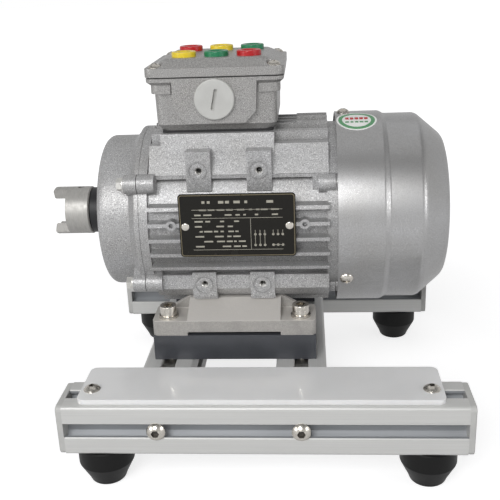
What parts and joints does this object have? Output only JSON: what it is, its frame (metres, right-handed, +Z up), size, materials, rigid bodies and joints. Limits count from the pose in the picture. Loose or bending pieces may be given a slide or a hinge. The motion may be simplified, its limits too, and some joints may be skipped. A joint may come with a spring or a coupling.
{
  "type": "demonstration electric motor",
  "caption": "Three-phase cage motor with six 4 mm sockets on its terminal box, on a slotted aluminium base with rubber feet and a claw coupling hub.",
  "frame": {"origin": "middle of the whole outline, on the floor below the rubber feet", "axes": "+X along the shaft from the coupling to the fan, +Y to the rear, +Z up"},
  "size_m": [0.2504, 0.2256, 0.2329],
  "materials": {
    "anodised_aluminium": "satin clear anodised extrusion",
    "cap_plastic": "moulded grey plastic",
    "foot_rubber": "black moulded rubber",
    "plated_steel": "zinc plated",
    "nickel_steel": "nickel plated",
    "milky_acrylic": "milky acrylic sheet, polished",
    "dark_bar": "dark anodised bar",
    "cast_aluminium": "shot-blasted casting",
    "silver_paint": "silver paint with a fine metallic speckle",
    "black_plate": "black printed plate with a light border",
    "bearing_steel": "ground steel",
    "shaft_steel": "turned steel",
    "black_rubber": "black rubber",
    "core_steel": "stacked steel sheet",
    "cage_aluminium": "die cast",
    "enamelled_copper": "varnished copper windings",
    "fan_plastic": "moulded plastic",
    "plug_plastic": "moulded light grey plastic",
    "board_resin": "moulded brown resin",
    "brass": "turned brass",
    "yellow_plastic": "moulded yellow plastic",
    "green_plastic": "moulded green plastic",
    "red_plastic": "moulded red plastic"
  },
  "bodies": {
    "stand": {"front_rail": "anodised_aluminium", "rear_rail": "anodised_aluminium", "left_cross_rail": "anodised_aluminium", "right_cross_rail": "anodised_aluminium", "rail_end_caps": "cap_plastic", "rubber_feet": "foot_rubber", "foot_screws": "plated_steel", "foot_nuts": "plated_steel", "frame_screws": "nickel_steel", "label_plate": "milky_acrylic", "label_screws": "nickel_steel", "label_nuts": "plated_steel", "front_spacer_bar": "dark_bar", "rear_spacer_bar": "dark_bar", "front_motor_foot": "cast_aluminium", "rear_motor_foot": "cast_aluminium", "foot_bolts": "nickel_steel", "foot_washers": "nickel_steel", "foot_bolt_nuts": "plated_steel", "motor_foot_screws": "plated_steel", "stator_housing": "silver_paint", "nameplate": "black_plate", "nameplate_rivets": "nickel_steel", "drive_end_shield": "silver_paint", "fan_end_shield": "silver_paint", "end_shield_screws": "plated_steel", "drive_bearing_outer": "bearing_steel", "fan_bearing_outer": "bearing_steel", "wave_washer": "bearing_steel", "stator_core": "core_steel", "stator_winding": "enamelled_copper", "fan_cover": "silver_paint", "fan_cover_screws": "nickel_steel", "terminal_box": "silver_paint", "box_gasket": "black_rubber", "box_screws": "plated_steel", "terminal_lid": "silver_paint", "lid_gasket": "black_rubber", "lid_screws": "nickel_steel", "blanking_plug": "plug_plastic", "terminal_board": "board_resin", "terminal_studs": "brass", "yellow_sockets": "yellow_plastic", "green_sockets": "green_plastic", "red_sockets": "red_plastic", "socket_contacts": "brass", "socket_nuts": "plated_steel"},
    "rotor": {"drive_bearing_inner": "bearing_steel", "fan_bearing_inner": "bearing_steel", "shaft_seal": "black_rubber", "motor_shaft": "shaft_steel", "rotor_core": "core_steel", "rotor_cage": "cage_aluminium", "coupling_hub": "shaft_steel", "hub_key": "shaft_steel", "hub_set_screw": "core_steel", "cooling_fan": "fan_plastic", "fan_circlip": "core_steel"},
    "drive_balls": {"drive_bearing_balls": "bearing_steel"},
    "fan_balls": {"fan_bearing_balls": "bearing_steel"}
  },
  "joints": [
    {"name": "rotor_spin", "type": "hinge", "parent": "stand", "child": "rotor", "pos_m": [-0.00825, 0.004, 0.133], "axis": [1, 0, 0], "continuous": true},
    {"name": "drive_balls_orbit", "type": "hinge", "parent": "stand", "child": "drive_balls", "pos_m": [-0.00825, 0.004, 0.133], "axis": [1, 0, 0], "continuous": true},
    {"name": "fan_balls_orbit", "type": "hinge", "parent": "stand", "child": "fan_balls", "pos_m": [-0.00825, 0.004, 0.133], "axis": [1, 0, 0], "continuous": true}
  ],
  "couplings": [
    {"joint": "drive_balls_orbit", "follows": "rotor_spin", "ratio": 0.3636},
    {"joint": "fan_balls_orbit", "follows": "rotor_spin", "ratio": 0.3636}
  ]
}
